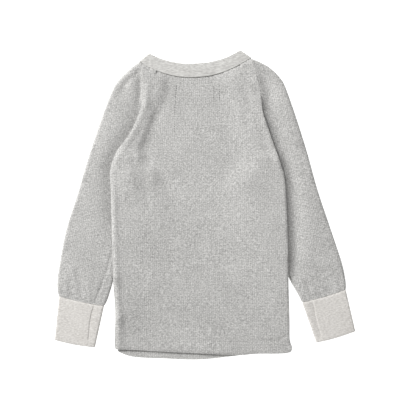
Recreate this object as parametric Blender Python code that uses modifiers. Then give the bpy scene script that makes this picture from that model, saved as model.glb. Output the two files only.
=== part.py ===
"""A child's long-sleeved thermal top, laid flat with its back up.

Metres, +Z up. The cloth rests on z = 0, +Y runs to the neck and +X to the wearer's right sleeve as it lies.
The tables below are in millimetres and MM turns them into metres.
"""

import math
from collections import namedtuple

import bmesh
import bpy

MM = 0.001
CENTRE = (0.5, 0.4)  # the middle of the whole garment in the tables' millimetres, which becomes the origin

# Driving dimensions, mm
CLOTH = 1.6  # waffle knit wall
RIB = 2.0  # doubled rib of the cuffs and the neck binding
SEAM = 0.4  # between two cut edges that are sewn to each other
TUBE_HEIGHT = 5.6  # a flattened sleeve, from the floor to its top face
AIR = 1.0  # between the back and the front where they lie on each other
COVER_GAP = 0.8  # between the sleeve and what lies over it
FRONT_MARGIN = 6.0  # how far past the sleeve's hidden edge the front stays up
BACK_MARGIN = 9.0  # and the back, which lies over the front
ARMHOLE_SLOPE = 18.0  # length of the slope back down to the floor, beside the armhole
SIDE_SLOPE = 28.0  # and below it, where the sleeve's bulk is softer
UNDERARM_FADE = 16.0  # the height over which the body passes from beside the sleeve to over it
SLOPE_LOWER = 20.0  # how far above the underarm the longer slope starts
BACK_LOWER = 30.0  # and the back's step up over the front
BINDING_HEIGHT = 6.4  # over the folds at the two shoulders
BINDING_LENGTH = 175.0  # of its sewn edge along the back
BINDING_SAG = 3.0  # of its back stretch towards the floor, in the middle
BINDING_STEPS = 14  # facets along each stretch
BINDING_ROWS = 3  # facets across it
BACK_STEPS = 26  # facets of the back from hem to neck
FRONT_STEPS = 24  # and of the front
PANEL_STEPS = 20  # facets across each of them
SLEEVE_STEPS = 18  # facets along a sleeve
CUFF_STEPS = 4  # facets along a cuff
CURVE_STEPS = 8  # straight bits between two points of a smooth line
FOLD_STEPS = 4  # facets round the folded edge of a tube
FLAT_STEPS = 8  # facets across each layer of a tube
NECK_STEPS = 2  # of those, the ones that a sleeve's end has along the neck binding
ARMHOLE_STEPS = FLAT_STEPS - NECK_STEPS

# Heights of each panel's underside
FRONT_LOW = 0.0
FRONT_HIGH = TUBE_HEIGHT + COVER_GAP
BACK_LOW = FRONT_LOW + CLOTH + AIR
BACK_HIGH = FRONT_HIGH + CLOTH + AIR
BACK_ON_SLEEVE = TUBE_HEIGHT + COVER_GAP

# One row for each level of the back, from neck to hem: the edge on either side, x and y
BackRow = namedtuple("BackRow", "left_x left_y right_x right_y")
BACK_ROWS = [
    BackRow(-92.0, 190.0, 79.0, 189.0),
    BackRow(-92.5, 165.0, 84.0, 165.0),
    BackRow(-97.0, 142.0, 87.5, 138.0),
    BackRow(-107.0, 116.0, 94.5, 117.0),
    BackRow(-119.0, 96.5, 103.0, 92.0),
    BackRow(-132.0, 79.0, 111.0, 70.0),
    BackRow(-141.0, 51.0, 118.0, 45.0),
    BackRow(-140.0, 20.0, 119.0, 15.0),
    BackRow(-138.5, -40.0, 122.0, -50.0),
    BackRow(-136.5, -110.0, 124.0, -115.0),
    BackRow(-133.5, -165.0, 127.0, -172.0),
    BackRow(-135.0, -200.0, 127.5, -200.0),
    BackRow(-135.0, -215.5, 131.0, -212.0),
]
BACK_HEM = [(-112, -217), (-59, -220), (-18, -222), (47, -225), (76, -223), (113, -222.6)]
BACK_HEM_ENDS = [(-133, -216.5), (129, -220)]

# The front's free sides, under the back and over the sleeve, from below the armhole to the hem
FrontRow = namedtuple("FrontRow", "left_x left_y right_x right_y")
FRONT_ROWS = [
    FrontRow(-86.0, 36.0, 74.0, 34.0),
    FrontRow(-97.0, 20.0, 85.0, 17.0),
    FrontRow(-114.0, 7.0, 101.0, 3.0),
    FrontRow(-129.0, -9.0, 113.0, -15.0),
    FrontRow(-136.0, -45.0, 120.0, -50.0),
    FrontRow(-136.5, -110.0, 124.0, -115.0),
    FrontRow(-133.5, -165.0, 127.0, -172.0),
    FrontRow(-135.0, -200.0, 127.5, -200.0),
    FrontRow(-131.5, -220.5, 129.5, -214.0),
]
FRONT_HEM = [
    (-112, -226.5), (-89, -229), (-59, -230), (-29, -231.5), (1, -231), (38, -227), (76, -222.5), (113, -220),
]

# One row for each section of a sleeve, from the cuff up: its folded outer and inner edges
Section = namedtuple("Section", "outer_x outer_y inner_x inner_y")
LEFT_SECTIONS = [
    Section(-217.5, -136.0, -151.0, -151.0),
    Section(-220.5, -120.0, -145.5, -141.0),
    Section(-218.0, -93.0, -137.0, -115.0),
    Section(-208.0, -39.0, -130.0, -85.0),
    Section(-191.0, 15.0, -123.0, -50.0),
    Section(-175.0, 69.0, -114.0, -15.0),
    Section(-157.0, 123.0, -103.0, 12.0),
    Section(-140.0, 168.0, -95.0, 30.0),
    Section(-98.9, 214.1, -91.0, 40.0),
]
LEFT_OUTER_MORE = [(-112, 204), (-130, 186)]
RIGHT_SECTIONS = [
    Section(211.5, -126.0, 147.0, -145.5),
    Section(211.0, -111.0, 140.0, -134.0),
    Section(205.0, -84.0, 124.5, -105.0),
    Section(187.0, -30.0, 117.0, -80.0),
    Section(169.0, 24.0, 111.0, -52.0),
    Section(154.0, 78.0, 103.0, -20.0),
    Section(137.0, 132.0, 93.0, 8.0),
    Section(121.0, 177.0, 84.0, 26.0),
    Section(70.9, 219.2, 79.0, 38.0),
]
RIGHT_OUTER_MORE = [(112, 192), (100, 204), (86, 213)]

# The armhole edge of each sleeve, from the underarm up to the neck binding
LEFT_ARMHOLE = [(-91, 40), (-99, 47), (-107, 58), (-111, 76), (-108, 95), (-100, 115)]
LEFT_ARMHOLE_TOP = [(-93, 137), (-86, 158), (-78, 182)]
LEFT_ARMHOLE_UNDER = [(-93, 137), (-88, 158)]
RIGHT_ARMHOLE = [(79, 38), (86, 46), (92, 58), (92, 76), (86, 97), (80, 117)]
RIGHT_ARMHOLE_TOP = [(75, 138), (71, 160), (63, 184)]
RIGHT_ARMHOLE_UNDER = [(73, 138), (66, 160)]

# The neck binding: its sewn edge and its free edge, on the back and on the front
BINDING_BACK_SEWN = [
    (-98, 215), (-80, 204.5), (-62, 197.5), (-44, 193), (-26, 191),
    (-8, 191.5), (10, 194), (30, 199.5), (50, 208.5), (70, 220),
]
BINDING_BACK_FREE = [
    (-82, 227), (-66, 219.5), (-48, 214.5), (-29, 212), (-12, 212.5), (8, 214.5), (32, 221), (53, 231.5),
]
BINDING_FRONT_SEWN = [
    (-98, 215), (-93, 196), (-80, 175), (-55, 159), (-15, 152), (25, 157), (50, 174), (64, 196), (70, 220),
]
BINDING_FRONT_FREE = [
    (-82, 227), (-76, 208), (-65, 191), (-45, 179), (-15, 173), (17, 178), (37, 191), (48, 209), (53, 231.5),
]

# Cuffs: the corners at the sleeve and at the mouth, outer and inner, and how far the sleeve edge sags
Cuff = namedtuple("Cuff", "top_outer top_inner mouth_outer mouth_inner sag")
LEFT_CUFF = Cuff((-217, -136.6), (-151.5, -151.4), (-225, -202), (-164, -213), -1.5)
RIGHT_CUFF = Cuff((211, -126.6), (147.5, -145.9), (226, -189), (167, -206), -1.5)

# Soft ridges (+) and troughs (-): a row for each, from x1, y1 to x2, y2, with its width and height
FOLD_END = 1.5  # a fold fades out past its ends over this many widths
Fold = namedtuple("Fold", "x1 y1 x2 y2 width height")
BACK_FOLDS = [
    Fold(-88, 186, -90, 152, 6, 1.6),
    Fold(-91, 150, -110, 108, 6, 1.8),
    Fold(-112, 106, -134, 66, 6, 1.5),
    Fold(-74, 185, -80, 135, 7, -0.5),
    Fold(74, 176, 84, 122, 7, 1.2),
    Fold(62, 192, 80, 190, 4, -0.5),
    Fold(90, 112, 112, 56, 7, 0.8),
    Fold(-132, -170, -131, -206, 4, 1.4),
    Fold(-110, -214, 10, -218, 12, 3.0),
    Fold(0, -218, 60, -220, 10, 1.6),
    Fold(112, 40, 82, 50, 6, 0.7),
]
LEFT_SLEEVE_FOLDS = [
    Fold(-112, 196, -134, 172, 6, 1.3),
    Fold(-190, -104, -184, -126, 3, 0.9),
    Fold(-208, -112, -206, -128, 3, 0.7),
    Fold(-170, -122, -172, -136, 3, 0.6),
]
RIGHT_SLEEVE_FOLDS = [
    Fold(104, 194, 124, 158, 7, 1.2),
    Fold(150, -84, 198, -100, 9, 0.9),
]


def smoothstep(value):
    value = min(1.0, max(0.0, value))
    return value * value * (3 - 2 * value)


def curve(points):
    """A smooth line through a few points, as samples along it (a Catmull-Rom curve)."""
    ends = [points[0]] + list(points) + [points[-1]]
    samples = [points[0]]
    for neighbours in zip(ends, ends[1:], ends[2:], ends[3:]):
        for step in range(1, CURVE_STEPS + 1):
            t = step / CURVE_STEPS
            point = []
            for a, b, c, d in zip(*neighbours):
                bend = (2 * a - 5 * b + 4 * c - d) * t * t + (3 * b - a - 3 * c + d) * t ** 3
                point.append(0.5 * (2 * b + (c - a) * t + bend))
            samples.append(tuple(point))
    return samples


def path(*stretches):
    """Joins sampled stretches end to end, corners kept. Returns place(share of the length)."""
    samples = [point for stretch in stretches for point in stretch]
    lengths = [0.0]
    for a, b in zip(samples, samples[1:]):
        lengths.append(lengths[-1] + math.dist(a, b))

    def place(share):
        wanted = share * lengths[-1]
        for i in range(1, len(samples)):
            if lengths[i] >= wanted and lengths[i] > lengths[i - 1]:
                part = (wanted - lengths[i - 1]) / (lengths[i] - lengths[i - 1])
                return tuple(a + (b - a) * part for a, b in zip(samples[i - 1], samples[i]))
        return samples[-1]

    return place


def stretch(place, start, end, steps=12):
    """Part of a path, sampled again."""
    return [place(start + (end - start) * i / steps) for i in range(steps + 1)]


def moved(samples, distance):
    """A sampled curve moved sideways: a positive distance goes to the left of its direction."""
    result = []
    for i, (x, y) in enumerate(samples):
        ax, ay = samples[max(i - 1, 0)]
        bx, by = samples[min(i + 1, len(samples) - 1)]
        length = math.hypot(bx - ax, by - ay) or 1.0
        result.append((x - (by - ay) / length * distance, y + (bx - ax) / length * distance))
    return result


def patch(low, high, left, right):
    """A plan patch between four paths: low and high run left to right, left and right run low to high."""
    corners = low(0), low(1), high(0), high(1)

    def place(s, t):
        values = zip(low(s), high(s), left(t), right(t), *corners)
        return tuple(
            (1 - t) * a + t * b + (1 - s) * c + s * d
            - ((1 - s) * (1 - t) * e + s * (1 - t) * f + (1 - s) * t * g + s * t * h)
            for a, b, c, d, e, f, g, h in values
        )

    return place


def side_distance(x, y, samples):
    """Distance from a sampled line, positive on the right of its direction."""
    best, sign = 1e9, 1.0
    for (ax, ay), (bx, by) in zip(samples, samples[1:]):
        dx, dy = bx - ax, by - ay
        share = ((x - ax) * dx + (y - ay) * dy) / (dx * dx + dy * dy or 1.0)
        share = min(1.0, max(0.0, share))
        away = math.hypot(x - ax - dx * share, y - ay - dy * share)
        if away < best:
            best, sign = away, math.copysign(1.0, (x - ax) * dy - (y - ay) * dx)
    return best * sign


def fold_height(x, y, folds):
    total = 0.0
    for fold in folds:
        dx, dy = fold.x2 - fold.x1, fold.y2 - fold.y1
        length = math.hypot(dx, dy)
        along = ((x - fold.x1) * dx + (y - fold.y1) * dy) / length
        across = ((x - fold.x1) * dy - (y - fold.y1) * dx) / length
        beyond = max(0.0, -along, along - length)
        fade = beyond / (FOLD_END * fold.width)
        total += fold.height * math.exp(-((across / fold.width) ** 2) - fade * fade)
    return total


def binding_share(step):
    """The share of the binding's length at one of its facets, counted from the left fold."""
    inset = (BINDING_HEIGHT - RIB) / 2 / BINDING_LENGTH
    return inset + step / BINDING_STEPS * (1 - 2 * inset)


def neck_edge(points, first, last, away, finer=1):
    """The cut edge of a piece that is sewn to the binding, between two of the binding's facets."""
    place = path(curve(points))
    step = 1 if last > first else -1
    samples = [place(binding_share(first + step * i / finer)) for i in range(abs(last - first) * finer + 1)]
    return moved(samples, away * step)


def corner_share(side, step):
    """Where a facet of the sleeve's end falls along it, which leaves room for its folded edges."""
    last = (LEFT_SECTIONS if side == "left" else RIGHT_SECTIONS)[-1]
    inset = (TUBE_HEIGHT - CLOTH) / 2 / math.dist(last[:2], last[2:])
    return inset + step / FLAT_STEPS * (1 - 2 * inset)


def armhole_end(side, layer):
    """One layer's end of a sleeve: up the armhole from the underarm, then along the neck to the shoulder."""
    left = side == "left"
    sewn = BINDING_BACK_SEWN if layer == "top" else BINDING_FRONT_SEWN
    ends = (NECK_STEPS, 0) if left else (BINDING_STEPS - NECK_STEPS, BINDING_STEPS)
    neck = neck_edge(sewn, *ends, -SEAM)
    base = LEFT_ARMHOLE if left else RIGHT_ARMHOLE
    if layer == "top":
        base = base + (LEFT_ARMHOLE_TOP if left else RIGHT_ARMHOLE_TOP)
    else:
        base = base + (LEFT_ARMHOLE_UNDER if left else RIGHT_ARMHOLE_UNDER)
    corner = (LEFT_SECTIONS if left else RIGHT_SECTIONS)[-1]
    neck.append((corner.outer_x, corner.outer_y))
    armhole = path(curve(base + neck[:1]))
    shares = [corner_share(side, ARMHOLE_STEPS + i) for i in range(NECK_STEPS + 1)] + [1.0]

    def place(s):
        if s <= shares[0]:
            return armhole(s / shares[0])
        for i in range(len(shares) - 1):
            if s <= shares[i + 1]:
                part = (s - shares[i]) / (shares[i + 1] - shares[i])
                return tuple(a + (b - a) * part for a, b in zip(neck[i], neck[i + 1]))
        return neck[-1]

    return place


def hidden_edge(side):
    """The line where the sleeve's bulk ends beneath the body, from the cuff up to the neck."""
    sections = LEFT_SECTIONS if side == "left" else RIGHT_SECTIONS
    inner = curve([(row.inner_x, row.inner_y) for row in sections])
    line = inner[:-1] + stretch(armhole_end(side, "top"), 0.0, corner_share(side, ARMHOLE_STEPS))
    return line if side == "left" else line[::-1]


HIDDEN_LEFT = hidden_edge("left")
HIDDEN_RIGHT = hidden_edge("right")


def over_sleeve(x, y, margin):
    """1 where the body lies over a sleeve, falling to 0 where it is down on the floor."""
    line = HIDDEN_LEFT if x < 0 else HIDDEN_RIGHT
    away = side_distance(x, y, line)
    slope = ARMHOLE_SLOPE + (SIDE_SLOPE - ARMHOLE_SLOPE) * below_armhole(x, y - SLOPE_LOWER)
    return smoothstep(1 - (away - margin) / slope)


def below_armhole(x, y):
    """1 below the armhole, where front and back both lie over the sleeve, and 0 above it."""
    level = (LEFT_ARMHOLE if x < 0 else RIGHT_ARMHOLE)[0][1]
    return smoothstep((level + UNDERARM_FADE - y) / UNDERARM_FADE)


def front_height(x, y):
    return FRONT_LOW + (FRONT_HIGH - FRONT_LOW) * over_sleeve(x, y, FRONT_MARGIN) * below_armhole(x, y)


def back_height(x, y):
    high = BACK_ON_SLEEVE + (BACK_HIGH - BACK_ON_SLEEVE) * below_armhole(x, y - BACK_LOWER)
    return BACK_LOW + (high - BACK_LOW) * over_sleeve(x, y, BACK_MARGIN) + fold_height(x, y, BACK_FOLDS)


def material(name, colour, roughness):
    made = bpy.data.materials.new(name)
    made.use_nodes = True
    shader = made.node_tree.nodes["Principled BSDF"]
    shader.inputs["Base Color"].default_value = (*colour, 1)
    shader.inputs["Roughness"].default_value = roughness
    shader.inputs["Metallic"].default_value = 0
    return made


def cloth(collection, name, columns, rows, place, wall, finish, closed=False):
    """Shapes a flat grid of cloth by place(u, v) and gives it its wall.

    An open panel's wall rises from its underside. A closed tube is sewn up, with its wall half to each side.
    """
    mesh = bpy.data.meshes.new(name)
    grid = bmesh.new()
    bmesh.ops.create_grid(grid, x_segments=columns, y_segments=rows, size=0.5)
    for vertex in grid.verts:
        u, v = vertex.co.x + 0.5, vertex.co.y + 0.5
        x, y, z = place(u, v)
        vertex.co = (x - CENTRE[0]) * MM, (y - CENTRE[1]) * MM, z * MM
    if closed:
        bmesh.ops.remove_doubles(grid, verts=grid.verts, dist=1e-6)
    grid.to_mesh(mesh)
    grid.free()
    mesh.shade_smooth()
    mesh.materials.append(finish)
    piece = bpy.data.objects.new(name, mesh)
    collection.objects.link(piece)
    solidify = piece.modifiers.new("Wall", "SOLIDIFY")
    solidify.thickness = wall * MM
    solidify.offset = 0 if closed else 1
    solidify.use_even_offset = True
    return piece


def ring_steps():
    """Round a flattened tube: (share across, angle of the fold) for each point, in order."""
    steps = [(i / FLAT_STEPS, None, -1) for i in range(FLAT_STEPS + 1)]
    steps += [(1.0, -90 + 180 * i / FOLD_STEPS, 0) for i in range(1, FOLD_STEPS)]
    steps += [(1 - i / FLAT_STEPS, None, 1) for i in range(FLAT_STEPS + 1)]
    steps += [(0.0, 90 - 180 * i / FOLD_STEPS, 0) for i in range(1, FOLD_STEPS)]
    return steps


def tube(collection, name, rows, under, upper, height, wall, finish, folds=()):
    """A flattened tube between two plan patches that share their folded edges: s = 0 inner, s = 1 outer."""
    steps = ring_steps()
    radius = (height - wall) / 2

    def place(u, v):
        share, angle, layer = steps[round(u * len(steps)) % len(steps)]
        width = math.dist(under(0, v), under(1, v))
        angle = math.radians(90 * layer if angle is None else angle)
        inset = radius * (1 - math.cos(angle)) / width
        s = inset + share * (1 - 2 * inset)
        lift = (1 + math.sin(angle)) / 2
        x, y = (a + (b - a) * lift for a, b in zip(under(s, v), upper(s, v)))
        z = height / 2 + radius * math.sin(angle) + fold_height(x, y, folds) * lift
        return x, y, z

    return cloth(collection, name, len(steps), rows, place, wall, finish, closed=True)


def panel_columns(u):
    """Columns of a panel lie closer to each other at its sides, where it climbs over the sleeves."""
    return 0.35 * u + 0.65 * (1 - math.cos(math.pi * u)) / 2


def back_panel(collection, finish):
    top = path(neck_edge(BINDING_BACK_SEWN, 0, BINDING_STEPS, -SEAM, finer=4))
    left = path(curve([(row.left_x, row.left_y) for row in BACK_ROWS][::-1] + [top(0)]))
    right = path(curve([(row.right_x, row.right_y) for row in BACK_ROWS][::-1] + [top(1)]))
    hem = path(curve([left(0), BACK_HEM_ENDS[0]] + BACK_HEM + [BACK_HEM_ENDS[1], right(0)]))
    plan = patch(hem, top, left, right)

    def place(u, v):
        x, y = plan(panel_columns(u), v)
        edge = 1 if min(u, 1 - u) < 1e-6 else 0
        return x, y, back_height(x, y) - edge * below_armhole(x, y - BACK_LOWER) * (AIR - SEAM)

    return cloth(collection, "back", PANEL_STEPS, BACK_STEPS, place, CLOTH, finish)


def front_side(side):
    """The front's edge: up its free side, then facet by facet along the sleeve's under layer."""
    sign = 1 if side == "left" else -1
    end = armhole_end(side, "under")
    armhole = [end(corner_share(side, step)) for step in range(1, ARMHOLE_STEPS + 1)]
    armhole = moved(armhole, -SEAM * sign)
    rows = [(getattr(row, side + "_x"), getattr(row, side + "_y")) for row in FRONT_ROWS][::-1]
    free = path(curve(rows + armhole[:1]))
    split = 1 - (ARMHOLE_STEPS - 1) / FRONT_STEPS

    def place(t):
        if t <= split:
            return free(t / split)
        at = (t - split) * FRONT_STEPS
        low = min(int(at + 1e-6), ARMHOLE_STEPS - 2)
        return tuple(a + (b - a) * (at - low) for a, b in zip(armhole[low], armhole[low + 1]))

    return place


def front_panel(collection, finish):
    top = path(neck_edge(BINDING_FRONT_SEWN, NECK_STEPS, BINDING_STEPS - NECK_STEPS, -SEAM, finer=4))
    left, right = front_side("left"), front_side("right")
    hem = path(curve([left(0)] + FRONT_HEM + [right(0)]))
    plan = patch(hem, top, left, right)

    def place(u, v):
        x, y = plan(panel_columns(u), v)
        return x, y, front_height(x, y)

    return cloth(collection, "front", PANEL_STEPS, FRONT_STEPS, place, CLOTH, finish)


def sleeve(collection, side, finish):
    sections = LEFT_SECTIONS if side == "left" else RIGHT_SECTIONS
    more = LEFT_OUTER_MORE[::-1] if side == "left" else RIGHT_OUTER_MORE
    cuff = LEFT_CUFF if side == "left" else RIGHT_CUFF
    folds = LEFT_SLEEVE_FOLDS if side == "left" else RIGHT_SLEEVE_FOLDS
    outline = [(row.outer_x, row.outer_y) for row in sections]
    outer = path(curve(outline[:-1] + more + outline[-1:]))
    inner = path(curve([(row.inner_x, row.inner_y) for row in sections]))
    start = path(cuff_line(inner(0), outer(0), cuff.sag))
    top, under = armhole_end(side, "top"), armhole_end(side, "under")
    # Seen from above, s runs from the inner to the outer edge and t from the cuff to the armhole
    layers = [patch(start, end, inner, outer) for end in (under, top)]
    return tube(collection, f"sleeve_{side}", SLEEVE_STEPS, *layers, TUBE_HEIGHT, CLOTH, finish, folds)


def cuff_line(inner, outer, sag):
    """The seam between a sleeve and its cuff, which sags a little between the folded edges."""
    points = []
    for i in range(CURVE_STEPS + 1):
        s = i / CURVE_STEPS
        x, y = (a + (b - a) * s for a, b in zip(inner, outer))
        points.append((x, y + sag * math.sin(math.pi * s)))
    return points


def cuff_tube(collection, side, finish):
    cuff = LEFT_CUFF if side == "left" else RIGHT_CUFF
    top = path(cuff_line(cuff.top_inner, cuff.top_outer, cuff.sag))
    mouth = path(cuff_line(cuff.mouth_inner, cuff.mouth_outer, cuff.sag))
    inner = path([cuff.mouth_inner, cuff.top_inner])
    outer = path([cuff.mouth_outer, cuff.top_outer])
    plan = patch(mouth, top, inner, outer)
    return tube(collection, f"cuff_{side}", CUFF_STEPS, plan, plan, TUBE_HEIGHT, RIB, finish)


def neck_binding(collection, finish):
    """A flat loop: along the back from left to right, round the right fold, and back along the front."""
    back = path(curve(BINDING_BACK_SEWN)), path(curve(BINDING_BACK_FREE))
    front = path(curve(BINDING_FRONT_SEWN)), path(curve(BINDING_FRONT_FREE))
    fold_radius = (BINDING_HEIGHT - RIB) / 2
    steps = [(i / BINDING_STEPS, 90) for i in range(BINDING_STEPS + 1)]
    steps += [(1.0, 90 - 180 * i / FOLD_STEPS) for i in range(1, FOLD_STEPS)]
    steps += [(1 - i / BINDING_STEPS, -90) for i in range(BINDING_STEPS + 1)]
    steps += [(0.0, -90 + 180 * i / FOLD_STEPS) for i in range(1, FOLD_STEPS)]

    def place(u, v):
        share, angle = steps[round(u * len(steps)) % len(steps)]
        angle = math.radians(angle)
        lift = (1 + math.sin(angle)) / 2
        inset = fold_radius * (1 - math.cos(angle)) / BINDING_LENGTH
        share = inset + share * (1 - 2 * inset)
        edges = []
        for under, over in zip(front, back):
            edges.append([a + (b - a) * lift for a, b in zip(under(share), over(share))])
        x, y = (a + (b - a) * v for a, b in zip(*edges))
        sag = BINDING_SAG * smoothstep(4 * share * (1 - share)) * lift
        return x, y, RIB / 2 + fold_radius * (1 + math.sin(angle)) - sag

    return cloth(collection, "neck_binding", len(steps), BINDING_ROWS, place, RIB, finish, closed=True)


def main():
    for old in list(bpy.data.objects):
        bpy.data.objects.remove(old)
    collection = bpy.data.collections.new("thermal_top")
    bpy.context.scene.collection.children.link(collection)
    waffle = material("waffle_knit", (0.50, 0.49, 0.48), 0.95)
    rib = material("rib_knit", (0.67, 0.65, 0.63), 0.95)
    back_panel(collection, waffle)
    front_panel(collection, waffle)
    neck_binding(collection, rib)
    for side in ("left", "right"):
        sleeve(collection, side, waffle)
        cuff_tube(collection, side, rib)


main()
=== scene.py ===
# %% [markdown]
# # A waffle-knit thermal top, laid flat with its back up
# This lesson dresses a packed garment in real cloth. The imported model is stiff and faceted, so every piece
# of it gets a finer double here: waffle knit for the body and the sleeves, fine rib for the cuffs and the
# neck binding, and rows of stitches made by Geometry Nodes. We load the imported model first, because all
# places come from it.

# %% Load the frame
import math
from collections import namedtuple

import bpy
import numpy as np
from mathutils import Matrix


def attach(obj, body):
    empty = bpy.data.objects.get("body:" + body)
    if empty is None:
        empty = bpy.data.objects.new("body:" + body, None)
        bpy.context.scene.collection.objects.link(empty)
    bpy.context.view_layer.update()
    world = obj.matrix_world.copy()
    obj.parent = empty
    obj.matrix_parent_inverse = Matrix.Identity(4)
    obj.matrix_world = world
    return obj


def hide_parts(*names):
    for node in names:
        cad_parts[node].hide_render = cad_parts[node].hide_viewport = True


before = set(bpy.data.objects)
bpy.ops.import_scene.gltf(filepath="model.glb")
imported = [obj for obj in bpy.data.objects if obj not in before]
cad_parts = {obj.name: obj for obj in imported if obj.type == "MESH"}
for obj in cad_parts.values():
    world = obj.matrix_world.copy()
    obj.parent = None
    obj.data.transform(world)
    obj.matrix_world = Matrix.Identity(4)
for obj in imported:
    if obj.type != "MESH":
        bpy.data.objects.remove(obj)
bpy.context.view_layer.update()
print("pieces in the frame:", sorted(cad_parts))

# %% [markdown]
# ## Units and the pattern
# A pattern cutter works in millimetres, so the tables do too, and MM turns them into Blender's metres.
# CENTRE is the middle of the garment in the pattern's own drawing. Each named tuple says what the columns
# of a table mean.

# %% Sizes shared by all the pieces
MM = 0.001
CENTRE = np.array([0.5, 0.4])  # the origin, in the pattern's millimetres
CLOTH = 1.6  # full height of the waffle knit
SKIN = 1.1  # its wall, without the relief
RIB = 2.0  # the doubled rib of cuffs and binding
SEAM = 0.4
TUBE = 5.6  # height of a flattened sleeve or cuff
AIR = 1.0
COVER = 0.8
FRONT_HIGH = TUBE + COVER
BACK_LOW = CLOTH + AIR
BACK_HIGH = FRONT_HIGH + CLOTH + AIR
BINDING_HEIGHT = 6.4
CURVE_STEPS = 8
SIGN = {"left": 1, "right": -1}
rng = np.random.default_rng(11)

# %% The back, its hem and the front
BodyRow = namedtuple("BodyRow", "left_x left_y right_x right_y")
BACK_ROWS = [BodyRow(*row) for row in (
    (-92, 190, 79, 189), (-92.5, 165, 84, 165), (-97, 142, 87.5, 138),
    (-107, 116, 94.5, 117), (-119, 96.5, 103, 92), (-132, 79, 111, 70),
    (-141, 51, 118.7, 45), (-140, 20, 121.8, 15), (-138.5, -40, 124.6, -50),
    (-136.5, -110, 125.5, -115), (-133.5, -165, 127, -172), (-135, -200, 127.5, -200),
    (-134.6, -212.5, 131, -212),
)]
BACK_HEM = [
    (-132.5, -216), (-112, -217), (-59, -220), (-18, -222),
    (47, -225), (76, -223), (113, -222.6), (129, -220),
]
FRONT_ROWS = [BodyRow(*row) for row in (
    (-86, 36, 74, 34), (-97, 20, 85, 17), (-114, 7, 101, 3),
    (-129, -9, 113, -15), (-136, -45, 120, -50), (-136.5, -110, 124, -115),
    (-133.5, -165, 127, -172), (-135, -200, 127.5, -200), (-131.5, -220.5, 129.5, -214),
)]
FRONT_HEM = [
    (-112, -226.5), (-89, -229), (-59, -230), (-29, -231.5), (1, -231), (38, -227), (76, -222.5), (113, -220),
]

# %% The sleeves and their armholes
Section = namedtuple("Section", "outer_x outer_y inner_x inner_y")
LEFT_SECTIONS = [Section(*row) for row in (
    (-218.7, -136, -150, -151), (-221, -120, -145, -141), (-218, -93, -137, -115),
    (-208, -39, -130, -85), (-191, 15, -123, -50), (-175, 69, -114, -15),
    (-157, 123, -103, 12), (-140, 168, -95, 30), (-98.9, 214.1, -91, 40),
)]
RIGHT_SECTIONS = [Section(*row) for row in (
    (212, -126, 145.5, -145.5), (211, -111, 140, -134), (205, -84, 124.5, -105),
    (187, -30, 117, -80), (169, 24, 111, -52), (154, 78, 103, -20),
    (137, 132, 93, 8), (121, 177, 84, 26), (70.9, 219.2, 79, 38),
)]
SECTIONS = {"left": LEFT_SECTIONS, "right": RIGHT_SECTIONS}
SHOULDERS = {"left": [(-130, 186), (-112, 204)], "right": [(112, 192), (100, 204), (86, 213)]}
UNDERARMS = {
    "left": [(-91, 40), (-99, 47), (-107, 58), (-111, 76), (-108, 95), (-100, 115)],
    "right": [(79, 38), (86, 46), (92, 58), (92, 76), (86, 97), (80, 117)],
}
ARMHOLES = {
    ("left", "top"): [*UNDERARMS["left"], (-93, 137), (-86, 158), (-78, 182)],
    ("left", "under"): [*UNDERARMS["left"], (-93, 137), (-88, 158)],
    ("right", "top"): [*UNDERARMS["right"], (75, 138), (71, 160), (63, 184)],
    ("right", "under"): [*UNDERARMS["right"], (73, 138), (66, 160)],
}

# %% The neck binding and the cuffs
BINDING_BACK_SEWN = [
    (-98, 215), (-80, 204.5), (-62, 197.5), (-44, 193), (-26, 191),
    (-8, 191.5), (10, 194), (30, 199.5), (50, 208.5), (70, 220),
]
BINDING_BACK_FREE = [
    (-82, 227), (-66, 219.5), (-48, 214.5), (-29, 212), (-12, 212.5), (8, 214.5), (32, 221), (53, 231.5),
]
BINDING_FRONT_SEWN = [
    (-98, 215), (-93, 196), (-80, 175), (-55, 159), (-15, 152), (25, 157), (50, 174), (64, 196), (70, 220),
]
BINDING_FRONT_FREE = [
    (-82, 227), (-76, 208), (-65, 191), (-45, 179), (-15, 173), (17, 178), (37, 191), (48, 209), (53, 231.5),
]
Cuff = namedtuple("Cuff", "top_outer top_inner mouth_outer mouth_inner sag")
CUFFS = {
    "left": Cuff((-218.2, -135.4), (-150.3, -150.2), (-225, -202), (-164, -213), -1.5),
    "right": Cuff((211.3, -125.4), (145.6, -144.7), (226, -189), (167, -206), -1.5),
}

# %% [markdown]
# ## Lines and distances
# A smooth line through a few points gives each cut edge. We use a Catmull-Rom curve, which passes through
# its points, and numpy, so that one call works on all the points of a piece at once.


# %% Smooth lines
def curve(points):
    """A smooth line through a few points, as samples along it."""
    ends = np.array([points[0], *points, points[-1]], float)
    samples = [ends[:1]]
    t = (np.arange(CURVE_STEPS) + 1)[:, None] / CURVE_STEPS
    for a, b, c, d in zip(ends, ends[1:], ends[2:], ends[3:]):
        bend = (2 * a - 5 * b + 4 * c - d) * t**2 + (3 * b - a - 3 * c + d) * t**3
        samples.append(0.5 * (2 * b + (c - a) * t + bend))
    return np.vstack(samples)


def along(samples, share):
    """Points at these shares of a sampled line's length."""
    samples = np.asarray(samples, float)
    steps = np.r_[0, np.cumsum(np.linalg.norm(np.diff(samples, axis=0), axis=1))]
    wanted = np.asarray(share, float) * steps[-1]
    return np.stack([np.interp(wanted, steps, samples[:, k]) for k in (0, 1)], axis=-1)


def length_of(samples):
    return float(np.linalg.norm(np.diff(samples, axis=0), axis=1).sum())


def moved(samples, distance):
    """A sampled line moved sideways, a positive distance to the left of its direction."""
    way = np.gradient(samples, axis=0)
    way /= np.linalg.norm(way, axis=1)[:, None] + 1e-12
    return samples + distance * np.stack([-way[:, 1], way[:, 0]], axis=1)


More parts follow.
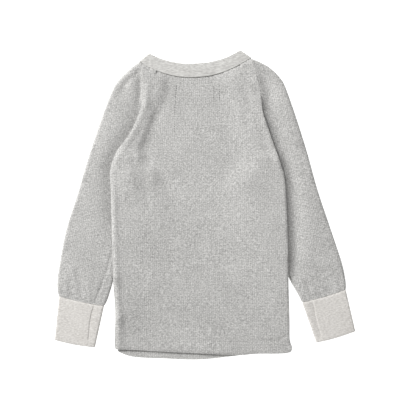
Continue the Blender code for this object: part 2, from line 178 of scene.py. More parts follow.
# %% Distances to a line
def nearest(points, samples):
    """Distance to a sampled line, negative on the left of its direction, and the nearest point on it."""
    best = np.full(len(points), 1e9)
    sign = np.ones(len(points))
    foot = np.zeros((len(points), 2))
    for a, b in zip(samples, samples[1:]):
        way = b - a
        if way @ way < 1e-12:
            continue
        share = np.clip((points - a) @ way / (way @ way), 0, 1)
        at = a + share[:, None] * way
        away = np.linalg.norm(points - at, axis=1)
        closer = away < best
        best[closer] = away[closer]
        foot[closer] = at[closer]
        side = (points[:, 0] - a[0]) * way[1] - (points[:, 1] - a[1]) * way[0]
        sign[closer] = np.where(side[closer] < 0, -1, 1)
    return best * sign, foot


def smooth(value):
    value = np.clip(value, 0, 1)
    return value * value * (3 - 2 * value)


def bell(distance, wide):
    return np.exp(-((distance / wide) ** 2))


def inside(points, outline):
    """Which points lie inside a closed outline: a ray to the side crosses it an odd number of times."""
    crossings = np.zeros(len(points), bool)
    for a, b in zip(outline, np.roll(outline, -1, axis=0)):
        if a[1] == b[1]:
            continue
        level = (a[1] > points[:, 1]) != (b[1] > points[:, 1])
        x = a[0] + (points[:, 1] - a[1]) * (b[0] - a[0]) / (b[1] - a[1])
        crossings ^= level & (points[:, 0] < x)
    return crossings


print("sewn edge of the binding along the back:", round(length_of(curve(BINDING_BACK_SEWN)), 1), "mm")

# %% [markdown]
# ## Soft folds
# Cloth that lies flat still has a few soft ridges and troughs where it was smoothed down by hand. Each is a
# row: a straight line with a width and a height, which fades at its ends. Sculpting them would work too,
# but a table can be read and changed. A few long gentle waves keep the rest of the cloth from looking
# pressed.

# %% Fold tables
Fold = namedtuple("Fold", "x1 y1 x2 y2 width height")
BACK_FOLDS = [Fold(*row) for row in (
    (-87, 176, -87, 154, 5, 1.0), (83, 158, 89, 128, 7, 1.7), (90, 122, 111, 68, 6, 2.2),
    (-124, 66, -118, 24, 11, 1.8), (-88, 150, -105, 110, 6, 1.3), (-108, 106, -129, 70, 6, 1.1),
    (-72, 172, -76, 130, 7, -0.7), (-75, 130, -91, 88, 7, -1.2), (-114, 72, -104, 12, 7, 1.1),
    (-92, 75, -84, 5, 8, -1.1), (-136, 20, -133, -110, 6, 1.5), (-133, -110, -128, -170, 6, 1.5),
    (-128, -170, -127.5, -208, 6, 1.5), (70, 180, 80, 115, 6, 0.8), (62, 172, 66, 120, 5, -0.4),
    (63, 197, 83, 168, 6, -1.0), (90, 112, 112, 56, 6, 0.5), (118, 42, 80, 50, 4, 0.5),
    (-110, -214, 10, -218, 12, 0.9), (0, -218, 60, -220, 10, 0.5), (-42.5, 179, -44, 161, 1.6, -0.5),
)]
FRONT_FOLDS = [
    Fold(-70, 120, -92, 60, 8, 0.5), Fold(60, 110, 78, 60, 8, 0.5), Fold(-40, -150, 20, -160, 10, 0.3),
]
LEFT_FOLDS = [Fold(*row) for row in (
    (-117, 185, -121, 176, 5, -1.1), (-96, 202, -118, 181, 3, -0.7), (-112, 196, -134, 172, 6, 0.9),
    (-190.5, -100, -184, -127, 4.5, -0.6), (-196, -98, -191, -128, 4, 0.5), (-207, -112, -207, -131, 4, 0.6),
    (-174, -118, -173, -138, 4, 0.6), (-158, -114, -163, -138, 4, 0.4), (-139, -71, -145.5, -96, 1.8, -0.7),
    (-145.5, -96, -157, -127, 1.8, -0.7), (-157, -127, -164, -146, 1.8, -0.7),
)]
RIGHT_FOLDS = [Fold(*row) for row in (
    (104, 194, 124, 158, 7, 0.8), (137, -93, 199, -108, 8, -0.8), (150, -80, 198, -92, 9, 0.5),
    (176, -118, 178, -136, 3, 0.4), (196, -112, 199, -130, 3, 0.5), (152, -112, 160, -139, 1.8, -0.7),
)]
SLEEVE_FOLDS = {"left": LEFT_FOLDS, "right": RIGHT_FOLDS}


# %% Height of the folds and of the long waves
def fold_height(points, folds):
    total = np.zeros(len(points))
    for fold in folds:
        start = np.array([fold.x1, fold.y1])
        way = np.array([fold.x2, fold.y2]) - start
        length = np.linalg.norm(way)
        along_it = (points - start) @ way / length
        across = ((points[:, 0] - fold.x1) * way[1] - (points[:, 1] - fold.y1) * way[0]) / length
        beyond = np.maximum(0, np.maximum(-along_it, along_it - length)) / (1.5 * fold.width)
        total += fold.height * np.exp(-((across / fold.width) ** 2) - beyond**2)
    return total


WAVES = [  # quarter turns in a millimetre, direction and phase
    (rng.uniform(0.02, 0.09), rng.uniform(0, math.pi), rng.uniform(0, 2 * math.pi)) for _ in range(12)
]


def waves(points, height):
    """Long uneven waves, with a mean of about zero."""
    total = np.zeros(len(points))
    for quarters, angle, phase in WAVES:
        ahead = points[:, 0] * math.cos(angle) + points[:, 1] * math.sin(angle)
        total += np.sin(math.pi / 2 * quarters * ahead + phase)
    return height * total / len(WAVES) ** 0.5


print(len(BACK_FOLDS), "folds on the back")

# %% [markdown]
# ## Waffle knit
# Waffle knit is a grid of raised ribs round small sunken cells. A bump map would look flat at the edges, so
# we make the relief in the mesh. The grid has two points for each cell each way: even rows and columns are
# the ribs, and the point in the middle is the pit. Because the grid follows the grain and not the outline,
# it is cut to shape as real cloth is: we keep the cells inside the outline and pull the points of the cut
# edge onto the line.

# %% Knit sizes
CELL = (3.05, 4.5)  # one waffle cell, across and along the grain
RELIEF = 0.55  # from the top of a rib to the bottom of a pit
ACROSS_RIB = 0.6  # height of the ribs that run across, as a share of the crossings
ALONG_RIB = 0.8  # and of those that run along
UNEVEN = 0.2  # how far the points stray, as a share of the relief
SHADE_ACROSS = 0.38  # how much of the painted shade in the knit's colour the hollows between the ribs across take
SHADE_ALONG = 0.62  # and those between the ribs along
EDGE_HEIGHT, EDGE_SHADE = 0.5, 0.4  # relief height and painted shade, both on a cut edge
WANDER = (0.5, 0.6)  # how far the grain strays from straight, across and along

Cut = namedtuple("Cut", "points place quads rim edge")


# %% Cut a grid of cloth to an outline
def cut_cloth(edges, grain=0.0):
    """edges: sampled lines that follow each other round the piece, anticlockwise. grain: its turn in radians.

    Gives the points, each point's column and row, the faces, and for the cut edge which line it lies on.
    """
    outline = np.vstack(list(edges.values()))
    turn = np.array([[math.cos(grain), -math.sin(grain)], [math.sin(grain), math.cos(grain)]])
    local = outline @ turn
    step = np.array(CELL) / 2
    low = np.floor(local.min(axis=0) / step).astype(int) - 2
    high = np.ceil(local.max(axis=0) / step).astype(int) + 3
    columns, rows = high - low
    place = np.stack(np.meshgrid(np.arange(low[0], high[0]), np.arange(low[1], high[1]), indexing="ij"), -1)
    place = place.reshape(-1, 2)
    points = (place * step) @ turn.T
    points[:, 0] += waves(points, WANDER[0])
    points[:, 1] += waves(points[:, ::-1] + 40, WANDER[1])
    index = np.arange(len(points)).reshape(columns, rows)
    quads = np.stack([index[:-1, :-1], index[1:, :-1], index[1:, 1:], index[:-1, 1:]], -1).reshape(-1, 4)
    quads = quads[inside(points[quads].mean(axis=1), outline)]
    used, inverse = np.unique(quads, return_inverse=True)
    quads = inverse.reshape(-1, 4)
    points, place = points[used], place[used]
    pairs = np.vstack([quads[:, [k, (k + 1) % 4]] for k in range(4)])
    code = pairs[:, 0] * len(points) + pairs[:, 1]
    rim = pairs[~np.isin(code, pairs[:, 1] * len(points) + pairs[:, 0])]
    on_rim = np.unique(rim)
    away = np.full(len(on_rim), 1e9)
    edge = np.full(len(points), -1)
    target = points[on_rim].copy()
    for number, line in enumerate(edges.values()):
        distance, foot = nearest(points[on_rim], line)
        closer = np.abs(distance) < away
        away[closer] = np.abs(distance)[closer]
        target[closer] = foot[closer]
        edge[on_rim[closer]] = number
    points[on_rim] = target
    return Cut(points, place, quads, rim, edge)


# %% Relief of the knit
def knit(cut):
    """Height of the waffle at each point, up to RELIEF on a crossing, and the shade painted into its colour,
    from 0 to 1, darkest in the pits.
    """
    even = cut.place % 2 == 0
    share = np.select([even.all(axis=1), even[:, 1], even[:, 0]], [1.0, ACROSS_RIB, ALONG_RIB], 0.0)
    share += UNEVEN * rng.standard_normal(len(share))
    share[cut.edge >= 0] = EDGE_HEIGHT
    # Painted shade: the colour is made darker in the hollows between the ribs, where light barely reaches.
    shade = SHADE_ACROSS * ~even[:, 1] + SHADE_ALONG * ~even[:, 0] + UNEVEN * rng.standard_normal(len(share))
    shade[cut.edge >= 0] = EDGE_SHADE
    return RELIEF * np.clip(share, 0, 1), np.clip(shade, 0, 1)


# %% [markdown]
# ## Heather yarn and knit, as shader groups
# The yarn is a melange: pale and darker fibres spun together, so the cloth is speckled and not flat grey.
# Several finishes share that effect, so it is a node group with named inputs. A second group gives the
# small loops that are too fine for the mesh, as a height for each material's Bump node. Both read Object
# coordinates, so the speckle stays on the cloth from every side.


# %% Node helpers
NUMBER, COLOUR, GEOMETRY = "NodeSocketFloat", "NodeSocketColor", "NodeSocketGeometry"


def new_group(name, inputs, outputs, tree_kind="ShaderNodeTree"):
    """An empty node group. inputs and outputs: name, socket type and default value."""
    group = bpy.data.node_groups.new(name, tree_kind)
    for way, rows in (("INPUT", inputs), ("OUTPUT", outputs)):
        for label, kind, default in rows:
            socket = group.interface.new_socket(name=label, in_out=way, socket_type=kind)
            if default is not None:
                socket.default_value = default
    return group, group.nodes.new("NodeGroupInput"), group.nodes.new("NodeGroupOutput")


def fill(node, values):
    for name, value in values.items():
        node.inputs[name].default_value = value


def add(tree, kind, values=None, **settings):
    """One node with its settings and the values of its inputs."""
    node = tree.nodes.new(kind)
    for name, value in settings.items():
        setattr(node, name, value)
    fill(node, values or {})
    return node


def maths(tree, operation, values=None, **settings):
    return add(tree, "ShaderNodeMath", values, operation=operation, **settings)


def wire(tree, links):
    """Each link is a node, its output, the next node and its input."""
    for source, output, target, socket in links:
        tree.links.new(source.outputs[output], target.inputs[socket])


# %% The heather group
def heather_group():
    """Colour of melange yarn: fine flecks drawn out across the cloth, with a slow drift below them."""
    group, given, result = new_group(
        "heather",
        [
            ("Pale", COLOUR, (0.6, 0.6, 0.6, 1)), ("Deep", COLOUR, (0.4, 0.4, 0.4, 1)),
            ("Fleck Size", NUMBER, 0.0012), ("Stretch", NUMBER, 1.8), ("Spread", NUMBER, 0.5),
        ],
        [("Color", COLOUR, None), ("Mask", NUMBER, None)],
    )
    where = add(group, "ShaderNodeTexCoord")
    apart = add(group, "ShaderNodeSeparateXYZ")
    drawn = maths(group, "DIVIDE")
    joined = add(group, "ShaderNodeCombineXYZ")
    scale = maths(group, "DIVIDE", {0: 1.0})
    fine = add(group, "ShaderNodeTexNoise", {"Detail": 1.5, "Roughness": 0.6})
    slow = add(group, "ShaderNodeTexNoise", {"Scale": 28.0, "Detail": 2.0})
    wire(group, [
        (where, "Object", apart, 0), (apart, "X", drawn, 0), (given, "Stretch", drawn, 1),
        (drawn, 0, joined, "X"), (apart, "Y", joined, "Y"), (apart, "Z", joined, "Z"),
        (given, "Fleck Size", scale, 1), (joined, 0, fine, "Vector"), (scale, 0, fine, "Scale"),
        (where, "Object", slow, "Vector"),
    ])
    centre = maths(group, "SUBTRACT", {1: 0.5})
    wide = maths(group, "MULTIPLY")
    drift = maths(group, "SUBTRACT", {1: 0.5})
    weak = maths(group, "MULTIPLY", {1: 0.35})
    both = maths(group, "ADD")
    middle = maths(group, "ADD", {1: 0.5}, use_clamp=True)
    spread = maths(group, "MULTIPLY", {1: 6.0})
    mix = add(group, "ShaderNodeMix", data_type="RGBA")
    wire(group, [
        (fine, "Fac", centre, 0), (given, "Spread", spread, 0), (centre, 0, wide, 0), (spread, 0, wide, 1),
        (slow, "Fac", drift, 0), (drift, 0, weak, 0), (wide, 0, both, 0), (weak, 0, both, 1),
        (both, 0, middle, 0), (middle, 0, mix, 0), (given, "Deep", mix, 6), (given, "Pale", mix, 7),
        (mix, 2, result, "Color"), (middle, 0, result, "Mask"),
    ])
    return group


# %% The loop group
def loop_group():
    """Height of fine knit loops: small bumps in rows, broken up by loose fibres."""
    group, given, result = new_group(
        "knit loops",
        [("Loop Size", NUMBER, 0.0009), ("Fuzz", NUMBER, 0.6)],
        [("Height", NUMBER, None)],
    )
    where = add(group, "ShaderNodeTexCoord")
    scale = maths(group, "DIVIDE", {0: 1.0})
    loops = add(group, "ShaderNodeTexVoronoi", {"Randomness": 0.55})
    fibres = add(group, "ShaderNodeTexNoise", {"Scale": 2600.0, "Detail": 3.0})
    fuzz = maths(group, "MULTIPLY")
    total = maths(group, "SUBTRACT")
    wire(group, [
        (given, "Loop Size", scale, 1), (where, "Object", loops, "Vector"), (scale, 0, loops, "Scale"),
        (where, "Object", fibres, "Vector"), (fibres, "Fac", fuzz, 0), (given, "Fuzz", fuzz, 1),
        (fuzz, 0, total, 0), (loops, "Distance", total, 1), (total, 0, result, "Height"),
    ])
    return group


HEATHER = heather_group()
LOOPS = loop_group()

# %% The finishes
Yarn = namedtuple("Yarn", "pale deep fleck stretch spread loop bump")
PIT_SHADE = 0.27  # painted shade: how much darker the colour is made at the bottom of a pit, where light barely reaches
BUMP_DEPTH = 0.0004  # metres
SOFT = {"Roughness": 0.95, "Specular IOR Level": 0.25, "Sheen Weight": 0.12, "Sheen Roughness": 0.6}
YARNS = {
    "waffle knit": Yarn((0.68, 0.673, 0.655), (0.335, 0.331, 0.321), 0.0013, 1.8, 0.44, 0.0009, 0.35),
    "cuff rib": Yarn((0.72, 0.70, 0.67), (0.47, 0.45, 0.425), 0.0012, 3.2, 0.36, 0.0007, 0.3),
    "binding rib": Yarn((0.65, 0.645, 0.62), (0.41, 0.40, 0.385), 0.0012, 4.2, 0.42, 0.0007, 0.3),
    "body thread": Yarn((0.56, 0.555, 0.545), (0.40, 0.396, 0.388), 0.0006, 1.0, 0.4, 0.0004, 0.2),
    "inside thread": Yarn((0.17, 0.168, 0.164), (0.11, 0.109, 0.106), 0.0006, 1.0, 0.4, 0.0004, 0.2),
}


def new_material(name, values):
    """A material whose Principled BSDF has these values."""
    material = bpy.data.materials.new(name)
    material.use_nodes = True
    shader = material.node_tree.nodes["Principled BSDF"]
    fill(shader, values)
    return material, material.node_tree, shader


def cloth_material(name, yarn):
    material, tree, shader = new_material(name, SOFT)
    values = {
        "Pale": (*yarn.pale, 1), "Deep": (*yarn.deep, 1),
        "Fleck Size": yarn.fleck, "Stretch": yarn.stretch, "Spread": yarn.spread,
    }
    heather = add(tree, "ShaderNodeGroup", values, node_tree=HEATHER)
    loops = add(tree, "ShaderNodeGroup", {"Loop Size": yarn.loop}, node_tree=LOOPS)
    bump = add(tree, "ShaderNodeBump", {"Strength": yarn.bump, "Distance": BUMP_DEPTH})
    wire(tree, [(loops, "Height", bump, "Height"), (bump, "Normal", shader, "Normal")])
    if name != "waffle knit":
        wire(tree, [(heather, "Color", shader, "Base Color")])
        return material
    # Painted shade: the pits of the waffle are darkened in the base colour, standing in for the shade deep in
    # the knit.
    painted_pit_shade = add(tree, "ShaderNodeAttribute", attribute_name="painted_pit_shade")
    amount = maths(tree, "MULTIPLY", {1: PIT_SHADE})
    shade = add(tree, "ShaderNodeMix", {7: (0, 0, 0, 1)}, data_type="RGBA", blend_type="MULTIPLY")
    wire(tree, [
        (painted_pit_shade, "Fac", amount, 0), (amount, 0, shade, 0), (heather, "Color", shade, 6),
        (shade, 2, shader, "Base Color"),
    ])
    return material


materials = {name: cloth_material(name, yarn) for name, yarn in YARNS.items()}
print("finishes:", ", ".join(materials))

# %% [markdown]
# ## From numbers to a piece of cloth
# One helper turns points and faces into an object at the origin. Solidify gives the knit its wall, growing
# inwards from the visible side, and new_from_object makes the result a plain mesh.


# %% Make a piece
CUT_ANGLE = math.radians(60)  # past this the shading breaks, as at a cut edge


def put(name, data):
    """A new object in the scene."""
    item = bpy.data.objects.new(name, data)
    bpy.context.scene.collection.objects.link(item)
    return item


def make_plain(piece):
    """Keeps what the modifiers make as a plain mesh."""
    graph = bpy.context.evaluated_depsgraph_get()
    plain = bpy.data.meshes.new_from_object(piece.evaluated_get(graph))
    piece.modifiers.clear()
    piece.data = plain
    return plain


def make_piece(name, points, faces, material, wall=0.0, depth=None):
    """points in the pattern's millimetres. wall: thickness that Solidify adds below the given side.

    depth: the shade painted into the colour at each point, from 0 to 1, darkest deep in the knit's pits,
    which the finish reads as a mesh attribute.
    """
    mesh = bpy.data.meshes.new(name)
    placed = (np.asarray(points, float) - [*CENTRE, 0]) * MM
    mesh.from_pydata(placed.tolist(), [], [list(map(int, face)) for face in faces])
    mesh.materials.append(materials[material])
    mesh.shade_smooth()
    # Painted shade: this attribute darkens the finish's colour in the knit's pits.
    if depth is not None:
        painted_pit_shade = mesh.attributes.new("painted_pit_shade", "FLOAT", "POINT")
        painted_pit_shade.data.foreach_set("value", np.asarray(depth, np.float32))
    piece = put(name, mesh)
    if wall:
        solidify = piece.modifiers.new("wall", "SOLIDIFY")
        solidify.thickness = wall * MM
        solidify.offset = -1
        plain = make_plain(piece)
        plain.name = name
        plain.set_sharp_from_angle(angle=CUT_ANGLE)
    triangles = sum(len(face.vertices) - 2 for face in piece.data.polygons)
    print(f"{name}: {triangles} triangles")
    return piece


# %% [markdown]
# ## The back
# The back is the piece that faces us. It lies over the front, and its sides climb over the tops of the two
# sleeves. Its height is a base level, plus the climb, plus the folds, and its side edges roll down to the
# seam. A cloth simulation would drape it too, but the folds here were smoothed by hand, so we place them
# where they lie.


# %% Edges of the body
def neck_line(points, first, last, gap=SEAM):
    """The edge sewn to the binding, between two shares of its length. gap: how far it stays from it."""
    return moved(along(curve(points), np.linspace(first, last, 60)), -gap)


def places(rows, side):
    """The points that a table's rows give for one side."""
    return [(getattr(row, side + "_x"), getattr(row, side + "_y")) for row in rows]


def column(rows, side, top):
    return curve([*places(rows, side)[::-1], tuple(top)])


BACK_INSET = 0.0125  # share of the binding's length that its folded ends take up
NECK_SHARE = 1 / 7  # share of the back's neck edge that belongs to a sleeve, seen from a shoulder
TUCK = 0.7  # how far the back's neck edge goes in below the binding
back_top = neck_line(BINDING_BACK_SEWN, BACK_INSET, 1 - BACK_INSET, -TUCK)
back_left = column(BACK_ROWS, "left", back_top[0])
back_right = column(BACK_ROWS, "right", back_top[-1])
back_hem = curve([tuple(back_left[0]), *BACK_HEM, tuple(back_right[0])])
BACK_EDGES = {"hem": back_hem, "right": back_right, "neck": back_top[::-1], "left": back_left[::-1]}


# %% Where the body lies on the sleeves
UNDERARM_FADE = 16  # length over which the body stops being free of the sleeves


def sleeve_edge(side):
    """The hidden inner edge of a sleeve, up to the underarm and along the armhole to the neck."""
    inner = curve(places(SECTIONS[side], "inner"))
    line = np.vstack([inner[:-1], curve(ARMHOLES[side, "top"])])
    return line if side == "left" else line[::-1]


def below_underarm(points, lift=0.0):
    level = np.where(points[:, 0] < 0, UNDERARMS["left"][0][1], UNDERARMS["right"][0][1])
    return smooth((level + UNDERARM_FADE + lift - points[:, 1]) / UNDERARM_FADE)


def climb(points, margin, slope):
    """1 where the body lies on a sleeve, falling to 0 over the slope's length."""
    left = nearest(points, sleeve_edge("left"))[0]
    right = nearest(points, sleeve_edge("right"))[0]
    away = np.where(points[:, 0] < 0, left, right)
    return smooth(1 - (away - margin) / slope)


# %% Height of the back
LEFT_ROLL = 8.0  # width over which each side edge comes down
RIGHT_ROLL = 3.5
FULL = 3.0  # how far the middle of the body stands up between the sleeves
BACK_WAVES = 0.16
BACK_MARGIN, FRONT_MARGIN = 9, 6  # how far past a sleeve's edge each layer still lies as high as on it
HEM_DEPTH = 19.0  # the turned-up hem, from its edge to its stitches
HEM_STEP = 0.2  # how much higher the doubled hem lies
BACK_GROOVE, FRONT_GROOVE = 0.75, 0.3  # how deep the hem's stitches pull the cloth down
GROOVE_WIDE = 1.3


def rolled(distance, radius, drop):
    """How far a surface has dropped near its edge, as a quarter of an ellipse."""
    near = 1 - np.clip(np.abs(distance) / radius, 0, 1)
    return drop * (1 - np.sqrt(1 - near**2))


def eased(distance, radius, drop):
    """The same, but as a gentle slope without a round edge."""
    return drop * (1 - np.clip(np.abs(distance) / radius, 0, 1)) ** 2


def groove(hem):
    """1 along the hem's stitches and 0 away from them. hem: distance from the hem's edge."""
    return bell(hem - HEM_DEPTH, GROOVE_WIDE)


def back_height(points):
    """The base level and the climb, then the folds, then the rolls at the sides, the neck and the hem."""
    high = FRONT_HIGH + (BACK_HIGH - FRONT_HIGH) * below_underarm(points, 30)
    lower = smooth((60 - points[:, 1]) / 100)
    slope = np.where(points[:, 0] < 0, 19 + 60 * lower, 42 + 40 * lower)
    low = BACK_LOW + FULL * smooth((60 - points[:, 1]) / 90) * smooth((points[:, 1] + 210) / 110)
    top = CLOTH + low + (high - low) * climb(points, BACK_MARGIN, slope)
    top += fold_height(points, BACK_FOLDS) + waves(points, BACK_WAVES)
    flush = smooth((points[:, 1] - 176) / 14)
    drop = 0.7 * (1 - flush) + 1.3 * below_underarm(points, 30)
    top -= eased(nearest(points, back_left)[0], LEFT_ROLL, drop)
    top -= eased(nearest(points, back_right)[0], RIGHT_ROLL, 0.6 * drop)
    ends = smooth((np.abs(points[:, 0] + 14) - 40) / 30)
    neck = nearest(points, back_top)[0]
    top -= rolled(neck, 3.0, 0.9 + 1.0 * ends) + eased(neck, 14.0, 1.2 * ends)
    hem = np.abs(nearest(points, back_hem)[0])
    top -= rolled(hem, 1.6, 0.5) + 0.9 * bell(hem, 15)
    fade = 0.35 + 0.65 * smooth((points[:, 0] + 20) / 110)
    return top - BACK_GROOVE * fade * groove(hem) + HEM_STEP * (hem < HEM_DEPTH)


# %% Make the back
cut = cut_cloth(BACK_EDGES)
# depth here is the painted shade of the knit's pits, which darkens the colour
relief, depth = knit(cut)
heights = back_height(cut.points) - RELIEF + relief
back = make_piece("back_knit", np.c_[cut.points, heights], cut.quads, "waffle knit", SKIN, depth)

# %% [markdown]
# ## The front
# The front lies below, face down. Only its hem shows, as a crescent below the lifted back hem, but it has
# the same knit on both sides. It ends at the under layer of each sleeve, and below the underarm its free
# sides lie just inside the back's rolled edges.

# %% Edges of the front
UNDER_INSET = 2.2  # how far its free sides stay inside the back's


def armhole_line(side, layer):
    """The armhole end of one layer of a sleeve, from the underarm up to the shoulder."""
    left = side == "left"
    sewn = BINDING_BACK_SEWN if layer == "top" else BINDING_FRONT_SEWN
    near, far = (NECK_SHARE, BACK_INSET) if left else (1 - NECK_SHARE, 1 - BACK_INSET)
    shares = np.linspace(near, far, 12)
    neck = moved(along(curve(sewn), shares), SEAM * SIGN[side])
    return curve([*ARMHOLES[side, layer], tuple(neck[0])]), neck


def front_column(side):
    free = places(FRONT_ROWS, side)[::-1]
    sign = SIGN[side]
    armhole = moved(armhole_line(side, "under")[0], -2 * SEAM * sign)
    start = len(armhole) // 8
    inset = moved(curve([*free, tuple(armhole[start])]), -UNDER_INSET * sign)
    keep = inset[:, 1] < armhole[start, 1] - 6
    return np.vstack([inset[keep], armhole[start:]])


front_left, front_right = front_column("left"), front_column("right")
front_top = neck_line(BINDING_FRONT_SEWN, NECK_SHARE, 1 - NECK_SHARE)
front_hem = curve([tuple(front_left[0]), *FRONT_HEM, tuple(front_right[0])])
FRONT_EDGES = {"hem": front_hem, "right": front_right, "neck": front_top[::-1], "left": front_left[::-1]}


# %% Height of the front
def front_height(points):
    slope = 18 + 10 * below_underarm(points, 20)
    top = CLOTH + FRONT_HIGH * climb(points, FRONT_MARGIN, slope) * below_underarm(points)
    top += np.maximum(0, fold_height(points, FRONT_FOLDS))
    hem = np.abs(nearest(points, front_hem)[0])
    return top - FRONT_GROOVE * groove(hem)


cut = cut_cloth(FRONT_EDGES)
# depth here is the painted shade of the knit's pits, which darkens the colour
relief, depth = knit(cut)
heights = front_height(cut.points) - RELIEF + relief
front = make_piece("front_knit", np.c_[cut.points, heights], cut.quads, "waffle knit", SKIN, depth)

# %% [markdown]
# ## The sleeves
# A sleeve is one piece of waffle knit, folded into a tube and pressed flat. Its two layers are cut from the
# same grid, turned to the sleeve's own grain, and joined round the folded edges by a strip that makes them
# round. Both ends stay open: one is sewn into the armhole and one into the cuff.

# %% Sleeve sizes
FOLD_INSET = 0.9  # from the folded edge to the first row of each layer
CROWN = 1.3  # how far the top layer stands up between its fold and the body
DIP = {"left": 2.4, "right": 3.7}  # how far it sinks beside the body's edge
DIP_AT = {"left": 2.5, "right": 13.0}  # how far from that edge, where the edge is flush with the sleeve
DIP_WIDE = 12.0
DIP_FROM = {"left": 70, "right": 130}  # how far below the middle the dip starts
LIFT_FROM = {"left": 140, "right": -120}  # above this the sleeve comes up to the body's edge
EDGE_LIFT = 2.2
LIFT_WIDE = {"left": 2.4, "right": 5.5}
SEWN_IN = 1.5  # beside the neck it goes in below the body's edge, as at a seam
SLEEVE_WAVES = 0.12
GRAINS = {"left": math.atan2(66, 323), "right": -math.atan2(79, 326)}


def sleeve_edges(side, layer, inset):
    """The four edges of one layer, anticlockwise, with its folded edges moved in."""
    left = side == "left"
    sign = SIGN[side]
    inner = curve(places(SECTIONS[side], "inner"))
    outer = places(SECTIONS[side], "outer")
    outer = curve([*outer[:-1], *SHOULDERS[side], outer[-1]])
    armhole, neck = armhole_line(side, layer)
    cuff = CUFFS[side]
    share = np.linspace(0, 1, 24)[:, None]
    seam = outer[0] + (inner[0] - outer[0]) * share
    seam[:, 1] += cuff.sag * np.sin(math.pi * share[:, 0])
    edges = {
        "cuff": seam,
        "inner": moved(inner, inset * sign),
        "armhole": np.vstack([armhole, neck]),
        "outer": moved(outer, -inset * sign)[::-1],
    }
    if left:
        return edges
    return {name: edges[name][::-1] for name in ("cuff", "outer", "armhole", "inner")}


def sleeve_height(points, side, inner, outer):
    """Height of the top layer, and how far each point is from a fold of the tube.

    It has a low crown between the outer fold and the body's edge, then the folds and the dip beside the body.
    """
    fold_away = np.minimum(np.abs(nearest(points, inner)[0]), np.abs(nearest(points, outer)[0]))
    body = -SIGN[side] * nearest(points, back_left if side == "left" else back_right)[0]
    reach = smooth((body + SEWN_IN * smooth((points[:, 1] - 145) / 10)) / 1.5 + 1)
    body = np.maximum(0, body)
    outside = np.abs(nearest(points, outer)[0])
    share = outside / (outside + body + 1e-6)
    top = TUBE + CROWN * np.sin(math.pi * share) ** 0.8 * smooth((points[:, 1] + 150) / 60)
    top += fold_height(points, SLEEVE_FOLDS[side]) * (body > 0)
    level = points[:, 1]
    dip = smooth((level + DIP_FROM[side]) / 60) * smooth((215 - level) / 40)
    upper = smooth((level - LIFT_FROM[side]) / 20)
    wide = DIP_WIDE - (4 * upper if side == "left" else 0)
    top -= DIP[side] * dip * bell(body - DIP_AT[side] * upper, wide)
    top += EDGE_LIFT * upper * bell(body, LIFT_WIDE[side]) * reach
    top += waves(points + 90, SLEEVE_WAVES) * (body > 4)
    cuff = CUFFS[side]
    seam = nearest(points, np.array([cuff.top_outer, cuff.top_inner], float))[0]
    top -= rolled(seam, 3.0, 0.7) + rolled(nearest(points, curve(BINDING_BACK_SEWN))[0], 6.0, 2.4)
    return top, fold_away


# %% Build a sleeve
def build_sleeve(side):
    middle = TUBE / 2
    tube = sleeve_edges(side, "top", 0.0)
    inner, outer = tube["inner"], tube["outer"]
    points, faces, painted_shades, rim_index, rim_points = [], [], [], {}, []
    total = 0
    strips = []
    for layer in ("top", "under"):
        edges = sleeve_edges(side, layer, FOLD_INSET)
        cut = cut_cloth(edges, GRAINS[side])
        names = list(edges)
        folded = np.isin(cut.edge, [names.index("inner"), names.index("outer")])
        top, away = sleeve_height(cut.points, side, inner, outer)
        swell = np.sqrt(1 - (1 - np.clip(away / middle, 0, 1)) ** 2)
        # depth here is the painted shade of the knit's pits, which darkens the colour
        relief, depth = knit(cut)
        painted_shades.append(depth)
        if layer == "top":
            z = middle + (top - middle) * swell - RELIEF + relief
        else:
            z = middle - middle * swell + RELIEF - relief
        quads = cut.quads if layer == "top" else cut.quads[:, ::-1]
        points.append(np.c_[cut.points, z])
        faces += [list(face + total) for face in quads]
        for a, b in cut.rim:
            if folded[a] and folded[b]:
                keys = [tuple(cut.place[a]), tuple(cut.place[b])]
                for key, vertex in zip(keys, (a, b)):
                    if key not in rim_index:
                        rim_index[key] = len(rim_points)
                        rim_points.append(cut.points[vertex])
                strips.append((layer, a + total, b + total, rim_index[keys[0]], rim_index[keys[1]]))
        total += len(cut.points)
    rim_points = np.array(rim_points)
    feet = [nearest(rim_points, line) for line in (inner, outer)]
    closer = (np.abs(feet[0][0]) < np.abs(feet[1][0]))[:, None]
    rim_points = np.where(closer, feet[0][1], feet[1][1])
    points.append(np.c_[rim_points, np.full(len(rim_points), middle)])
    for layer, a, b, rim_a, rim_b in strips:
        strip = [b, a, total + rim_a, total + rim_b]
        faces.append(strip if layer == "top" else strip[::-1])
    # The folded rims get a middling painted shade.
    painted_shades = np.r_[np.concatenate(painted_shades), np.full(len(rim_points), 0.5)]
    return make_piece(f"sleeve_{side}_knit", np.vstack(points), faces, "waffle knit", SKIN, painted_shades)


sleeves = {side: build_sleeve(side) for side in ("left", "right")}

# %% [markdown]
# ## The cuffs
# A cuff is a tube of doubled rib: its mouth is a fold, so it is round there. We walk once round the tube
# and once down its wall, outside, round the mouth and up inside, and let the ribs raise the surface a
# little.

# %% Cuff sizes
CUFF_ROUND = 300  # points round a cuff
CUFF_RIB = 2.2  # from one rib to the next
RIB_RELIEF = 0.22
STRIP = {"left": 0.4, "right": 0.8}  # how far the strip beside the seam sinks towards it
CUFF_SEAMS = {
    "left": [(-167, -155), (-171, -171), (-174, -202)],
    "right": [(164, -150), (168, -172), (174, -192)],
}
SEAM_DEEP, SEAM_WIDE, STRIP_WIDE = 0.4, 0.9, 5  # the line of the seam, and the strip beside it
CUFF_DIP = 1.5  # its top goes in below the sleeve's end


